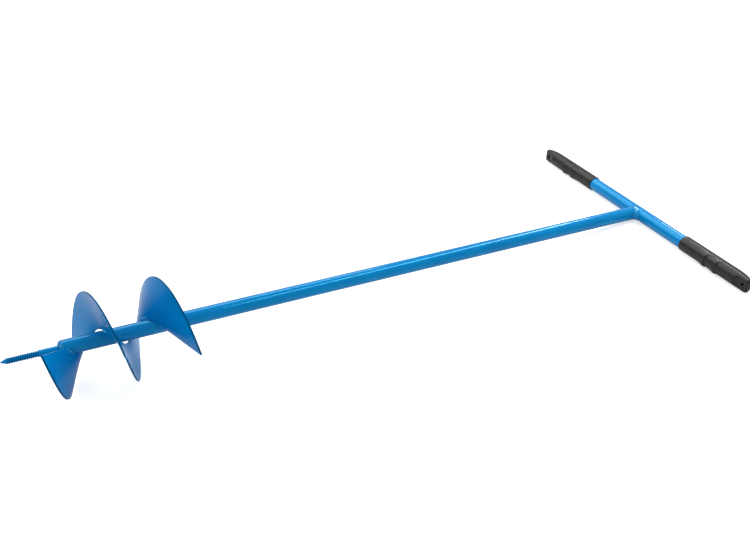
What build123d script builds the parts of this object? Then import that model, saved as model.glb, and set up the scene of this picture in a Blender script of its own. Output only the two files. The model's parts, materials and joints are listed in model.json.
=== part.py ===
from build123d import *
import os
from math import acos, atan2, cos, hypot, pi, radians, sin, sqrt

# A T-handled hand auger for post holes, lying on the ground as it is put down:
# it rests on the rim of its flight and on its two grips, so the shaft slopes
# down a little towards the handle. Millimetres, +Z up, +X from point to handle.
#
# Every piece is placed in the tool's own frame, whose x runs up the shaft from
# the point of the pilot screw, y along the crossbar to the left grip, and z
# square to both. "Turn" is the angle round the shaft, from +y towards +z.

# ---- tubes -------------------------------------------------------------
TUBE_DIAMETER = 22.6          # 7/8 in tube with its coat of paint
TUBE_WALL = 2.0
TUBE_RADIUS = TUBE_DIAMETER / 2
BORE_RADIUS = TUBE_RADIUS - TUBE_WALL
SHAFT_START = 80.0            # mouth of the shaft tube
CROSSBAR_AT = 1058.5          # point of the screw to the crossbar's axis
HANDLE_HALF = 266.0           # middle of the handle to the end of a grip

# ---- pilot screw -------------------------------------------------------
PILOT_DIAMETER = 9.6
PILOT_ROOT = 7.8
PILOT_CONE = 10.4
PILOT_TIP_RADIUS = 0.6
PILOT_TIP_LENGTH = 0.3
THREAD_RELIEF = 0.4           # plain bar between the cone and the thread
PILOT_PITCH = 2.8
PILOT_TURNS = 14
GROOVE_FROM = 0.30            # one pitch of the thread: down, along, up, along
GROOVE_TO = 0.60
CREST_FROM = 0.88
PILOT_END = 104.0             # inside the shaft tube
PLUG_DEPTH = 12.0

# ---- flight ------------------------------------------------------------
FLIGHT_RADIUS = 69.2
FLIGHT_MIDDLE = 150.6         # where the two blades meet
FLIGHT_TURN = 172.0           # turn of that seam, in degrees
BLADE_SWEEP = 384.0           # one split ring, pulled open
RIM_PITCH = 94.1
HOLE_PITCH = 64.1             # the hole's edge rises less than the rim
PLATE = 3.0
HOLE_GAP = 3.0                # most daylight between blade and shaft
STEPS = 24                    # sections in one blade

# ---- grips -------------------------------------------------------------
GRIP_LENGTH = 147.0
GRIP_RADIUS = 13.0
GRIP_BORE_DEPTH = 122.0
GRIP_LIP = 1.2
BAR_END_GAP = 1.0             # air between the bar's end and the bore's floor
HANG_HOLE_DIAMETER = 5.0
HANG_HOLE_INSET = 10.5        # from the end of the grip
TAB_FRONT = 8.5               # flat front of the tab, from the bar's axis
TAB_LENGTH = 21.0
FINGER_RIDGES = (60.0, 84.0)  # from the mouth of the grip
RIDGE_HEIGHT = 1.2
RIDGE_LENGTH = 16.0
END_ROUND = 6.0
TAB_BACK = 4.0                # where the sloped back meets the end
TAB_SLOPE = 18.0
TAB_RUN = 6.0                 # the tab's front runs out into the grip

# ---- welds -------------------------------------------------------------
BEAD = 4.4                    # leg of a fillet bead
BEAD_CROWN = 0.1              # how far its face bulges, as a share of the leg
BEAD_END = 0.45               # leg at its two ends, as a share of the middle's
BEAD_STEPS = 6
SEAM_BEAD = 2.4
HANDLE_BEAD = 4.6
HANDLE_BEAD_DEPTH = 8.0       # it hardly stands out above and below the tubes
NOSE_BEAD = 5.0

# ---- the lie of the tool on the ground -----------------------------------
REST_TURN = 270.0
REST_AT = FLIGHT_MIDDLE + RIM_PITCH * (REST_TURN - FLIGHT_TURN) / 360
RIM_EDGE = 0.1                # the rim's edge reaches this much lower as it leans
RIM_DROP = FLIGHT_RADIUS + RIM_EDGE
REST_SPAN = CROSSBAR_AT - REST_AT
TILT = acos(GRIP_RADIUS / hypot(RIM_DROP, REST_SPAN)) - atan2(REST_SPAN, RIM_DROP)
POINT_HEIGHT = RIM_DROP * cos(TILT) + REST_AT * sin(TILT)
POINT_X = -(CROSSBAR_AT * cos(TILT) + GRIP_RADIUS) / 2

TOOL = Plane(
    origin=(POINT_X, 0, POINT_HEIGHT),
    x_dir=(cos(TILT), 0, -sin(TILT)),
    z_dir=(sin(TILT), 0, cos(TILT)),
)


def in_tool(x, y, z):
    """A point of the tool's own frame, in the world."""
    return TOOL.from_local_coords(Vector(x, y, z))


def across_shaft(x):
    """The plane square to the shaft, x from the point, facing the handle."""
    return Plane(origin=in_tool(x, 0, 0), x_dir=TOOL.y_dir, z_dir=TOOL.x_dir)


def across_handle(y, side=1):
    """The plane square to the crossbar, facing out along side."""
    return Plane(
        origin=in_tool(CROSSBAR_AT, y, 0), x_dir=TOOL.x_dir, z_dir=TOOL.y_dir * side
    )


def shaft_section(turn):
    """The half plane through the shaft's axis: local x up the shaft, y outward."""
    out = TOOL.y_dir * cos(radians(turn)) + TOOL.z_dir * sin(radians(turn))
    return Plane(origin=TOOL.origin, x_dir=TOOL.x_dir, z_dir=TOOL.x_dir.cross(out))


os.makedirs("parts", exist_ok=True)


def write(piece, name):
    """Label a finished piece and write its file."""
    piece.part.label = name
    export_step(piece.part, f"parts/{name}.step")


# ---- crossbar and shaft ----------------------------------------------------
# The crossbar is one straight tube. Its open ends stop inside the grips.
BAR_HALF = HANDLE_HALF - GRIP_LENGTH + GRIP_BORE_DEPTH - BAR_END_GAP

with BuildPart() as crossbar_tube:
    with BuildSketch(across_handle(-BAR_HALF)):
        Circle(TUBE_RADIUS)
        Circle(BORE_RADIUS, mode=Mode.SUBTRACT)
    extrude(amount=2 * BAR_HALF)
write(crossbar_tube, "crossbar_tube")

# The shaft's top end is coped to sit round the crossbar.
with BuildPart() as shaft_tube:
    with BuildSketch(across_shaft(SHAFT_START)):
        Circle(TUBE_RADIUS)
        Circle(BORE_RADIUS, mode=Mode.SUBTRACT)
    extrude(amount=CROSSBAR_AT - SHAFT_START)
    with BuildSketch(across_handle(-2 * TUBE_RADIUS)):
        Circle(TUBE_RADIUS)
    extrude(amount=4 * TUBE_RADIUS, mode=Mode.SUBTRACT)
write(shaft_tube, "shaft_tube")

# ---- pilot screw -------------------------------------------------------
# A pointed bar with a cut thread. The thread is drawn as rings of its pitch.
THREAD_START = PILOT_CONE + THREAD_RELIEF
AXIS_SECTION = shaft_section(90)


def pilot_outline():
    """Half the outline of the pilot screw, from its point to its inner end."""
    crest = PILOT_DIAMETER / 2
    root = PILOT_ROOT / 2
    points = [(0, 0), (PILOT_TIP_LENGTH, PILOT_TIP_RADIUS)]
    points += [(PILOT_CONE, crest), (THREAD_START, crest)]
    for ring in range(PILOT_TURNS):
        at = THREAD_START + ring * PILOT_PITCH
        points.append((at + GROOVE_FROM * PILOT_PITCH, root))
        points.append((at + GROOVE_TO * PILOT_PITCH, root))
        points.append((at + CREST_FROM * PILOT_PITCH, crest))
        points.append((at + PILOT_PITCH, crest))
    points += [(PILOT_END, crest), (PILOT_END, 0)]
    return points


with BuildPart() as pilot_screw:
    with BuildSketch(AXIS_SECTION):
        with BuildLine():
            Polyline(pilot_outline(), close=True)
        make_face()
    revolve(axis=Axis(TOOL.origin, TOOL.x_dir))
write(pilot_screw, "pilot_screw")

# The plug centres the pilot screw in the mouth of the shaft tube.
with BuildPart() as nose_plug:
    with BuildSketch(across_shaft(SHAFT_START)):
        Circle(BORE_RADIUS)
        Circle(PILOT_DIAMETER / 2, mode=Mode.SUBTRACT)
    extrude(amount=PLUG_DEPTH)
write(nose_plug, "nose_plug")

# A domed bead closes the mouth round the pilot screw.
with BuildPart() as nose_weld:
    with BuildSketch(AXIS_SECTION):
        with BuildLine():
            face = Line((SHAFT_START, PILOT_DIAMETER / 2), (SHAFT_START, TUBE_RADIUS))
            dome = EllipticalCenterArc(
                (SHAFT_START, PILOT_DIAMETER / 2),
                NOSE_BEAD,
                TUBE_RADIUS - PILOT_DIAMETER / 2,
                start_angle=90,
                arc_size=90,
            )
            Line(dome @ 1, face @ 0)
        make_face()
    revolve(axis=Axis(TOOL.origin, TOOL.x_dir))
write(nose_weld, "nose_weld")


# ---- flight ------------------------------------------------------------
def rim_at(turn):
    """Distance up the shaft of the blade's rim at a turn."""
    return FLIGHT_MIDDLE + RIM_PITCH * (turn - FLIGHT_TURN) / 360


def hole_at(turn):
    """Distance up the shaft of the edge of the blade's hole at a turn."""
    return FLIGHT_MIDDLE + HOLE_PITCH * (turn - FLIGHT_TURN) / 360


def hole_radius(turn):
    """The hole is loose on the shaft at the seam and closes on it at both ends."""
    away = (turn - FLIGHT_TURN) / BLADE_SWEEP
    return TUBE_RADIUS + HOLE_GAP * cos(away * pi / 2) ** 2


def plate_width(radius, pitch, lean):
    """Thickness of the plate measured along the shaft, where the plate slopes."""
    rise = pitch / (2 * pi * radius)
    return PLATE * sqrt(1 + rise**2 + lean**2)


def blade_section(turn):
    """Corners of the blade's cross-section at a turn: up the shaft, then outward."""
    inner = hole_radius(turn)
    lean = (rim_at(turn) - hole_at(turn)) / (FLIGHT_RADIUS - inner)
    thick_in = plate_width(inner, HOLE_PITCH, lean) / 2
    thick_out = plate_width(FLIGHT_RADIUS, RIM_PITCH, lean) / 2
    return [
        (hole_at(turn) - thick_in, inner),
        (rim_at(turn) - thick_out, FLIGHT_RADIUS),
        (rim_at(turn) + thick_out, FLIGHT_RADIUS),
        (hole_at(turn) + thick_in, inner),
    ]


def make_blade(first_turn):
    """One split ring, pulled open into a little more than a full turn."""
    with BuildPart() as blade:
        for step in range(STEPS + 1):
            turn = first_turn + BLADE_SWEEP * step / STEPS
            with BuildSketch(shaft_section(turn)):
                Polygon(*blade_section(turn), align=None)
        loft()
    return blade


SEAM = Plane(
    origin=in_tool(FLIGHT_MIDDLE, 0, 0),
    x_dir=TOOL.x_dir,
    z_dir=shaft_section(FLIGHT_TURN).y_dir,
)

# The two rings meet edge to edge, and one bead joins them along that edge.
with BuildPart() as seam_weld:
    with BuildSketch(SEAM.offset(hole_radius(FLIGHT_TURN))):
        Circle(SEAM_BEAD)
    extrude(amount=FLIGHT_RADIUS - hole_radius(FLIGHT_TURN))
write(seam_weld, "seam_weld")

with BuildPart() as lower_flight:
    add(make_blade(FLIGHT_TURN - BLADE_SWEEP))
    add(seam_weld.part, mode=Mode.SUBTRACT)
write(lower_flight, "lower_flight")

with BuildPart() as upper_flight:
    add(make_blade(FLIGHT_TURN))
    add(seam_weld.part, mode=Mode.SUBTRACT)
write(upper_flight, "upper_flight")


# ---- welds between the flight and the shaft ------------------------------------
def bead_section(turn, face, leg):
    """Three corners of a bead: out on the blade's face, in its root, along the shaft."""
    corners = blade_section(turn)
    hole, rim = (corners[3], corners[2]) if face > 0 else (corners[0], corners[1])
    slope = (rim[0] - hole[0]) / (rim[1] - hole[1])
    root = (hole[0] + slope * (TUBE_RADIUS - hole[1]), TUBE_RADIUS)
    on_blade = (root[0] + slope * leg, TUBE_RADIUS + leg)
    on_shaft = (root[0] + face * leg, TUBE_RADIUS)
    return on_blade, root, on_shaft


def make_bead(first_turn, last_turn, face):
    """A fillet bead between the shaft and one face of a blade, small at its ends."""
    with BuildPart() as bead:
        for step in range(BEAD_STEPS + 1):
            turn = first_turn + (last_turn - first_turn) * step / BEAD_STEPS
            leg = BEAD * (BEAD_END + (1 - BEAD_END) * sin(pi * step / BEAD_STEPS))
            on_blade, root, on_shaft = bead_section(turn, face, leg)
            crown = (
                (on_blade[0] + on_shaft[0]) / 2 + face * BEAD_CROWN * leg,
                (on_blade[1] + on_shaft[1]) / 2 + BEAD_CROWN * leg,
            )
            with BuildSketch(shaft_section(turn)):
                with BuildLine():
                    Line(on_blade, root)
                    Line(root, on_shaft)
                    ThreePointArc(on_shaft, crown, on_blade)
                make_face()
        loft()
    return bead


BLADE_WELDS = {
    "leading_weld": (-208, -160, 1),
    "lower_tack_weld": (-50, -14, 1),
    "middle_tack_weld": (292, 326, -1),
    "upper_tack_weld": (398, 432, -1),
    "trailing_weld": (506, 553, -1),
}
for name, (first_turn, last_turn, face) in BLADE_WELDS.items():
    write(make_bead(first_turn, last_turn, face), name)

# ---- weld round the handle joint ------------------------------------------------
# Two tubes of one size meet in two half ellipses, one on each side of the shaft.
with BuildPart() as handle_weld:
    for side in (1, -1):
        joint = Plane(
            origin=in_tool(CROSSBAR_AT, 0, 0),
            x_dir=TOOL.y_dir * side - TOOL.x_dir,
            z_dir=(TOOL.y_dir * side - TOOL.x_dir).cross(TOOL.z_dir),
        )
        with BuildLine(joint):
            path = EllipticalCenterArc(
                (0, 0), TUBE_RADIUS * sqrt(2), HANDLE_BEAD_DEPTH, start_angle=-90, arc_size=180
            )
        with BuildSketch(Plane(origin=path @ 0, z_dir=path % 0)):
            Circle(HANDLE_BEAD)
        sweep(path=path)
    with BuildSketch(across_handle(-3 * TUBE_RADIUS)):
        Circle(TUBE_RADIUS)
    extrude(amount=6 * TUBE_RADIUS, mode=Mode.SUBTRACT)
    with BuildSketch(across_shaft(CROSSBAR_AT - 4 * TUBE_RADIUS)):
        Circle(TUBE_RADIUS)
    extrude(amount=4 * TUBE_RADIUS, mode=Mode.SUBTRACT)
write(handle_weld, "handle_weld")


# ---- grips -----------------------------------------------------------------
def make_grip(side):
    """A moulded sleeve with finger ridges and a holed tab; side is 1 or -1 in y."""
    mouth = HANDLE_HALF - GRIP_LENGTH
    tab_root = HANDLE_HALF - TAB_LENGTH
    with BuildPart() as grip:
        with BuildSketch(across_handle(side * mouth, side)):
            Circle(GRIP_RADIUS)
        extrude(amount=GRIP_LENGTH)
        chamfer(grip.edges().sort_by(Axis.Y)[0 if side > 0 else -1], length=GRIP_LIP)
        fillet(grip.edges().sort_by(Axis.Y)[-1 if side > 0 else 0], radius=END_ROUND)
        # Ridges swell towards the end of the grip, then step down.
        for ridge in FINGER_RIDGES:
            root = mouth + ridge - RIDGE_LENGTH
            with BuildSketch(across_handle(side * root, side)):
                Circle(GRIP_RADIUS)
            with BuildSketch(across_handle(side * (mouth + ridge), side)):
                with Locations((-RIDGE_HEIGHT, 0)):
                    Circle(GRIP_RADIUS)
            loft()
        # The back of the end slopes down to the tab, whose front is flat.
        with BuildSketch(TOOL):
            with BuildLine():
                Polyline(
                    (CROSSBAR_AT + TAB_BACK, side * HANDLE_HALF),
                    (CROSSBAR_AT + GRIP_RADIUS, side * (HANDLE_HALF - TAB_SLOPE)),
                    (CROSSBAR_AT + 2 * GRIP_RADIUS, side * HANDLE_HALF),
                    close=True,
                )
            make_face()
            with BuildLine():
                Polyline(
                    (CROSSBAR_AT - GRIP_RADIUS, side * (tab_root - TAB_RUN)),
                    (CROSSBAR_AT - TAB_FRONT, side * tab_root),
                    (CROSSBAR_AT - TAB_FRONT, side * HANDLE_HALF),
                    (CROSSBAR_AT - 2 * GRIP_RADIUS, side * HANDLE_HALF),
                    close=True,
                )
            make_face()
        extrude(amount=GRIP_RADIUS, both=True, mode=Mode.SUBTRACT)
        with BuildSketch(across_handle(side * mouth, side)):
            Circle(TUBE_RADIUS)
        extrude(amount=GRIP_BORE_DEPTH, mode=Mode.SUBTRACT)
        hang_at = in_tool(CROSSBAR_AT - GRIP_RADIUS, side * (HANDLE_HALF - HANG_HOLE_INSET), 0)
        with BuildSketch(Plane(origin=hang_at, x_dir=TOOL.y_dir, z_dir=TOOL.x_dir)):
            Circle(HANG_HOLE_DIAMETER / 2)
        extrude(amount=2 * GRIP_RADIUS, mode=Mode.SUBTRACT)
    return grip


left_grip = make_grip(1)
write(left_grip, "left_grip")
right_grip = make_grip(-1)
write(right_grip, "right_grip")
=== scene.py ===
"""The looks of a T-handled auger for post holes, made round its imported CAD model.

Lengths are metres. Each piece is placed in the tool's own frame, whose x runs up the
shaft from the point of the pilot screw, y along the crossbar to the left grip, and z
square to both. A "turn" is an angle round the shaft in degrees, from +y towards +z.
"""

import json
import logging
from dataclasses import dataclass
from enum import Enum
from math import cos, exp, pi, radians, sin, sqrt, atan2, degrees

import bmesh
import bpy
from mathutils import Matrix, Vector, noise


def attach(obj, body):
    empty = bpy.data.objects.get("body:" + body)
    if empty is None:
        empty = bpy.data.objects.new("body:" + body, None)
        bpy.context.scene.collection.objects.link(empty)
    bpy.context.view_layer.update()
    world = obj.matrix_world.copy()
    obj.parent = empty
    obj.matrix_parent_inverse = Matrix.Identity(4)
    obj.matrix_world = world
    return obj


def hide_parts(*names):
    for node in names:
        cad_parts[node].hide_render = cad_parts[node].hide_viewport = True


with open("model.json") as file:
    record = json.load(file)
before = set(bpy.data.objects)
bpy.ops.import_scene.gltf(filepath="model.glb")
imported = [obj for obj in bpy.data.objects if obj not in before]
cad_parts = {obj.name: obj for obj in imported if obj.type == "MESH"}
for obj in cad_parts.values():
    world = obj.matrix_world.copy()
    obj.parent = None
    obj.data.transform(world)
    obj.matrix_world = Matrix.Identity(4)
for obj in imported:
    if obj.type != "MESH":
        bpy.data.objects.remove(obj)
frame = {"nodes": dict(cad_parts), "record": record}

LOG = logging.getLogger("auger")
BODY = "root"
MM = 0.001
SLIVER = 0.004 * MM
BEVEL_FROM = 38.0
SIDE_ON = 0.05
FRONT_ON = 0.2

Colour = tuple[float, float, float]


class Slot(Enum):
    """The record's material slots."""

    PAINT = "blue_paint"
    GRIP = "black_grip"
    STEEL = "bare_steel"


class Face(Enum):
    """The two faces of a blade, by the way they look along the shaft."""

    TO_POINT = -1
    TO_HANDLE = 1


# ---- the tool's own frame ---------------------------------------------------------
@dataclass(frozen=True)
class Extent:
    """Lowest and highest corner of a CAD node in the tool's own frame."""

    low: Vector
    high: Vector

    @property
    def centre(self) -> Vector:
        """The middle of the box."""
        return (self.low + self.high) / 2

    @property
    def half(self) -> Vector:
        """Half of the box's sides."""
        return (self.high - self.low) / 2


@dataclass(frozen=True)
class ToolFrame:
    """The tool's own axes in the world."""

    origin: Vector
    up: Vector
    left: Vector
    square: Vector

    @classmethod
    def from_record(cls, record: dict, clip_at: float = 0.640) -> "ToolFrame":
        """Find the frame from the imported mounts.

        Args:
            record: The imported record.
            clip_at: How far up the shaft's axis the rack clip's mount lies.

        Returns:
            The tool's frame.
        """
        mounts = {mount["name"]: mount for mount in record["mounts"]}
        up = -Vector(mounts["left_hang_hole"]["axis"]).normalized()
        left = Vector((0, 1, 0))
        origin = Vector(mounts["shaft_rack_clip"]["pos_m"]) - up * clip_at
        return cls(origin, up, left, up.cross(left))

    def at(self, x: float, y: float, z: float) -> Vector:
        """A point of the tool's frame, in the world."""
        return self.origin + self.up * x + self.left * y + self.square * z

    def turn(self, local: tuple[float, float, float]) -> Vector:
        """A direction of the tool's frame, in the world."""
        return self.up * local[0] + self.left * local[1] + self.square * local[2]

    def round_shaft(self, x: float, turn: float, radius: float) -> Vector:
        """A point at a turn and radius from the shaft's axis."""
        angle = radians(turn)
        return self.at(x, radius * cos(angle), radius * sin(angle))

    def extent(self, node: str) -> Extent:
        """Measure a CAD node along the tool's axes.

        Args:
            node: The node's name.

        Returns:
            Its box in the tool's frame.
        """
        seen = [v.co - self.origin for v in frame["nodes"][node].data.vertices]
        axes = (self.up, self.left, self.square)
        low = Vector([min(point.dot(axis) for point in seen) for axis in axes])
        high = Vector([max(point.dot(axis) for point in seen) for axis in axes])
        return Extent(low, high)


# ---- objects and meshes -------------------------------------------------------------
def enter(name: str, data: bpy.types.ID) -> bpy.types.Object:
    """Bring new data into the scene as an object."""
    made = bpy.data.objects.new(name, data)
    bpy.context.scene.collection.objects.link(made)
    return made


def stand_at(spot: Vector, right: Vector, above: Vector, back: Vector) -> Matrix:
    """The matrix of a camera or light at a spot, which looks away from its back."""
    return Matrix.Translation(spot) @ Matrix((right, above, back)).transposed().to_4x4()


def turns_round(count: int) -> list[float]:
    """Even steps of a full turn, in degrees from 0."""
    return [360 * i / count for i in range(count)]


class Skin:
    """A closed mesh gathered ring by ring."""

    def __init__(self) -> None:
        """Start with no points."""
        self.points: list[Vector] = []
        self.faces: list[list[int]] = []

    def ring(self, points: list[Vector]) -> list[int]:
        """Add a ring of points and return their numbers."""
        first = len(self.points)
        self.points += points
        return list(range(first, len(self.points)))

    def bridge(self, one: list[int], two: list[int]) -> None:
        """Join two rings of as many points with quads.

        Args:
            one: The numbers of the first ring's points.
            two: The numbers of the second ring's points.
        """
        count = len(one)
        for i in range(count):
            j = (i + 1) % count
            self.faces.append([one[i], one[j], two[j], two[i]])

    def loft(self, rings: list[list[Vector]]) -> list[list[int]]:
        """Join rings in order, with both ends left open.

        Args:
            rings: The points of each ring.

        Returns:
            The numbers of the points in each ring.
        """
        made = [self.ring(points) for points in rings]
        for one, two in zip(made, made[1:]):
            self.bridge(one, two)
        return made

    def loop(self, rings: list[list[Vector]]) -> None:
        """Join rings in order and the last to the first, as for a wall or a closed bead."""
        made = self.loft(rings)
        self.bridge(made[-1], made[0])

    def rod(self, rings: list[list[Vector]]) -> None:
        """Join rings in order and close both round ends."""
        made = self.loft(rings)
        self.cap_fan(made[0])
        self.cap_fan(made[-1])

    def slab(self, rings: list[list[Vector]]) -> None:
        """Join rings in order and close both ends of a plate."""
        made = self.loft(rings)
        self.cap_strip(made[0])
        self.cap_strip(made[-1])

    def cap_fan(self, ring: list[int]) -> None:
        """Close a round end with a fan about its middle.

        Args:
            ring: The numbers of the end's points.
        """
        middle = sum((self.points[i] for i in ring), Vector()) / len(ring)
        hub = self.ring([middle])[0]
        for i, start in enumerate(ring):
            self.faces.append([start, ring[(i + 1) % len(ring)], hub])

    def cap_strip(self, ring: list[int]) -> None:
        """Close the end of a plate, whose ring runs out on one face and back on the other.

        Args:
            ring: The numbers of the end's points.
        """
        count = len(ring)
        for i in range(count // 2 - 1):
            self.faces.append([ring[i], ring[i + 1], ring[count - 2 - i], ring[count - 1 - i]])

    def build(self, name: str, crease: float = 35.0) -> bpy.types.Object:
        """Make the object.

        Args:
            name: The piece's name.
            crease: The angle in degrees from which an edge is drawn sharp.

        Returns:
            The new object, with its normals facing out.
        """
        mesh = bpy.data.meshes.new(name)
        mesh.from_pydata(self.points, [], self.faces)
        work = bmesh.new()
        work.from_mesh(mesh)
        bmesh.ops.recalc_face_normals(work, faces=work.faces)
        work.to_mesh(mesh)
        work.free()
        mesh.shade_smooth()
        mesh.set_sharp_from_angle(angle=radians(crease))
        return enter(name, mesh)


def soften(piece: bpy.types.Object, width: float, segments: int = 2) -> None:
    """Round off the sharp edges of a piece.

    Args:
        piece: The piece.
        width: Width of the rounding.
        segments: Facets across it.
    """
    bevel = piece.modifiers.new("soft_edges", "BEVEL")
    bevel.width = width
    bevel.segments = segments
    bevel.limit_method = "ANGLE"
    bevel.angle_limit = radians(BEVEL_FROM)
    bevel.harden_normals = True


def settle(piece: bpy.types.Object) -> None:
    """Apply a piece's modifiers, so that its mesh is final and has no slivers.

    Args:
        piece: The piece.
    """
    graph = bpy.context.evaluated_depsgraph_get()
    graph.update()
    final = bpy.data.meshes.new_from_object(piece.evaluated_get(graph))
    work = bmesh.new()
    work.from_mesh(final)
    bmesh.ops.remove_doubles(work, verts=work.verts, dist=SLIVER)
    bmesh.ops.dissolve_degenerate(work, edges=work.edges, dist=SLIVER)
    work.to_mesh(final)
    work.free()
    piece.modifiers.clear()
    piece.data = final


def dress(piece: bpy.types.Object, finish: "Finish", slot: Slot, *nodes: str) -> None:
    """Give a new piece its finish, let it stand for CAD nodes and ride on the body.

    Args:
        piece: The new piece.
        finish: What it is finished in.
        slot: The record's slot for that finish; not used.
        nodes: The CAD nodes that it stands for.
    """
    piece.data.materials.clear()
    piece.data.materials.append(finish.material())
    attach(piece, BODY)
    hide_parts(*nodes)
    LOG.info("%s: %d faces, stands for %s", piece.name, len(piece.data.polygons), ", ".join(nodes))


def wobble(point: Vector, per_metre: float) -> float:
    """Smooth noise from about -1 to 1 at a point, the same on every run."""
    return noise.noise(point * per_metre)


def ease(value: float, start: float, end: float) -> float:
    """0 before start, 1 after end, and smooth in between."""
    share = min(1.0, max(0.0, (value - start) / (end - start)))
    return share * share * (3 - 2 * share)


def soft_least(one: float, two: float, blend: float) -> float:
    """The smaller of two lengths, with a rounded corner where they cross.

    Args:
        one: A length.
        two: Another length.
        blend: How wide the rounding is.

    Returns:
        The smaller length, less a little near the crossing.
    """
    gap, far_apart = (one - two) / blend, 30
    if abs(gap) > far_apart:
        return min(one, two)
    low = min(one, two)
    return low - blend * (sqrt(gap * gap + 1) - abs(gap)) / 4


# ---- shader effects that several finishes share ------------------------------------
class Wiring:
    """A node tree with short calls to add and join its nodes."""

    def __init__(self, tree: bpy.types.NodeTree) -> None:
        """Work on a tree."""
        self.tree = tree

    def add(self, kind: str, given: dict | None = None, **settings: object) -> bpy.types.Node:
        """Add a node.

        Args:
            kind: The node's type.
            given: What each named or numbered input gets: a value, or a socket to join.
            settings: The node's own properties.

        Returns:
            The new node.
        """
        node = self.tree.nodes.new(kind)
        for key, value in settings.items():
            setattr(node, key, value)
        self.feed(node, given or {})
        return node

    def feed(self, node: bpy.types.Node, given: dict) -> None:
        """Set a node's inputs.

        Args:
            node: The node.
            given: What each named or numbered input gets: a value, or a socket to join.
        """
        for key, value in given.items():
            if isinstance(value, bpy.types.NodeSocket):
                self.tree.links.new(value, node.inputs[key])
            else:
                node.inputs[key].default_value = value

    def effect(self, tree: bpy.types.NodeTree, given: dict) -> bpy.types.Node:
        """Place a shared effect with its own values."""
        return self.add("ShaderNodeGroup", given, node_tree=tree)

    def bump(self, height: bpy.types.NodeSocket, depth: float, share: float) -> bpy.types.NodeSocket:
        """The normal of a surface raised by a height.

        Args:
            height: The height, from 0 to 1.
            depth: How far 1 stands out.
            share: How much of it shows, from 0 to 1.

        Returns:
            The normal.
        """
        given = {"Height": height, "Distance": depth, "Strength": share}
        return self.add("ShaderNodeBump", given).outputs["Normal"]

    def dot(self, one: bpy.types.NodeSocket, two: object) -> bpy.types.NodeSocket:
        """The dot product of two vectors."""
        given = {0: one, 1: two}
        return self.add("ShaderNodeVectorMath", given, operation="DOT_PRODUCT").outputs["Value"]

    def math(self, operation: str, *values: object) -> bpy.types.NodeSocket:
        """Add a Math node and return its result."""
        given = dict(enumerate(values))
        return self.add("ShaderNodeMath", given, operation=operation).outputs[0]

    def remap(
        self, value: object, low: float, high: float, to_low: float, to_high: float
    ) -> bpy.types.NodeSocket:
        """Map a value from one range to another, held at both ends.

        Args:
            value: The value or socket.
            low: Lowest value coming in.
            high: Highest value coming in.
            to_low: What the lowest becomes.
            to_high: What the highest becomes.

        Returns:
            The mapped value.
        """
        given = {"Value": value, "From Min": low, "From Max": high, "To Min": to_low}
        given["To Max"] = to_high
        return self.add("ShaderNodeMapRange", given).outputs["Result"]

    def blend(self, share: object, one: object, two: object) -> bpy.types.NodeSocket:
        """Mix two colours.

        Args:
            share: How much of the second, from 0 to 1.
            one: The first colour or socket.
            two: The second colour or socket.

        Returns:
            The mixed colour.
        """
        given = {0: share, 6: one, 7: two}
        return self.add("ShaderNodeMix", given, data_type="RGBA").outputs[2]


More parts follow.
